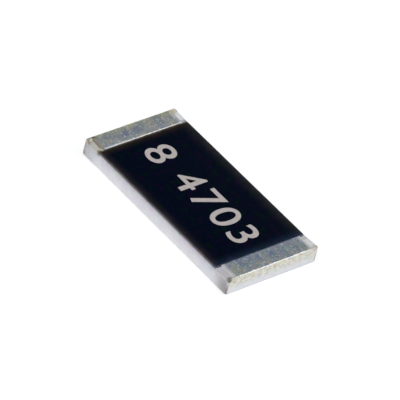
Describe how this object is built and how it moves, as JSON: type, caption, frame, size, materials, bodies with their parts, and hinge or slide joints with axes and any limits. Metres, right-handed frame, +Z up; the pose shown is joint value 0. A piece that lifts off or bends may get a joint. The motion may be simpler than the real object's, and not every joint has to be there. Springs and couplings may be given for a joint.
{
  "type": "smd chip resistor",
  "caption": "Flat rectangular thick-film chip resistor for surface mounting: white alumina chip, dark epoxy overcoat and tin-plated wrap-around end terminals.",
  "frame": {"origin": "centre of the chip, on the plane that its two soldering pads stand on", "axes": "+X along the chip towards the right terminal, +Y across it, +Z up out of the coated face"},
  "size_m": [0.0064, 0.0032, 0.0005],
  "materials": {
    "alumina": "matte, as fired",
    "resistor_paste": "matte, fired",
    "cover_glass": "gloss, fired",
    "epoxy_overcoat": "satin",
    "printed_silver": "matte, fired",
    "fired_silver": "matte, fired",
    "nickel": "satin, plated",
    "matte_tin": "matte, plated"
  },
  "bodies": {
    "root": {"ceramic_substrate": "alumina", "resistor_film": "resistor_paste", "glass_coat": "cover_glass", "overcoat": "epoxy_overcoat", "top_electrode_left": "printed_silver", "top_electrode_right": "printed_silver", "bottom_electrode_left": "printed_silver", "bottom_electrode_right": "printed_silver", "end_electrode_left": "fired_silver", "end_electrode_right": "fired_silver", "nickel_barrier_left": "nickel", "nickel_barrier_right": "nickel", "tin_plating_left": "matte_tin", "tin_plating_right": "matte_tin"}
  },
  "joints": []
}
